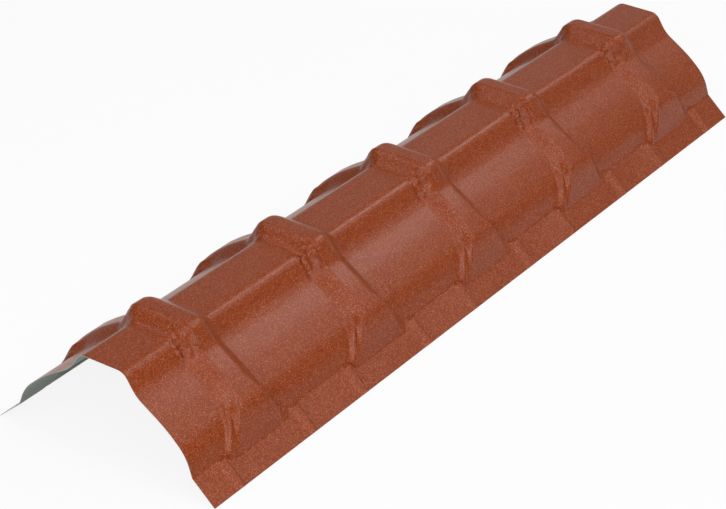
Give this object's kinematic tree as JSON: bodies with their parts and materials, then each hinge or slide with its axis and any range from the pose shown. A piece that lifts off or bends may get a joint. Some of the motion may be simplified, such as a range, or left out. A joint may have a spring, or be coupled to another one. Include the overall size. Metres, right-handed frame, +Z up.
{
  "type": "metal ridge cap",
  "caption": "Pressed sheet-steel roof ridge cap: flat crown, rounded sides with raised collars, and sloping ribbed flanges.",
  "frame": {"origin": "on the floor under the middle of the cap's length, on its plane of symmetry", "axes": "+X along the ridge from the end with the shorter plain run before its first flange rib, Y across the ridge, +Z up"},
  "size_m": [1.1, 0.2882, 0.1312],
  "materials": {
    "ridge_cap": "matt textured terracotta coat on top, grey-green primer underneath"
  },
  "bodies": {
    "root": {"ridge_cap": "ridge_cap"}
  },
  "joints": []
}
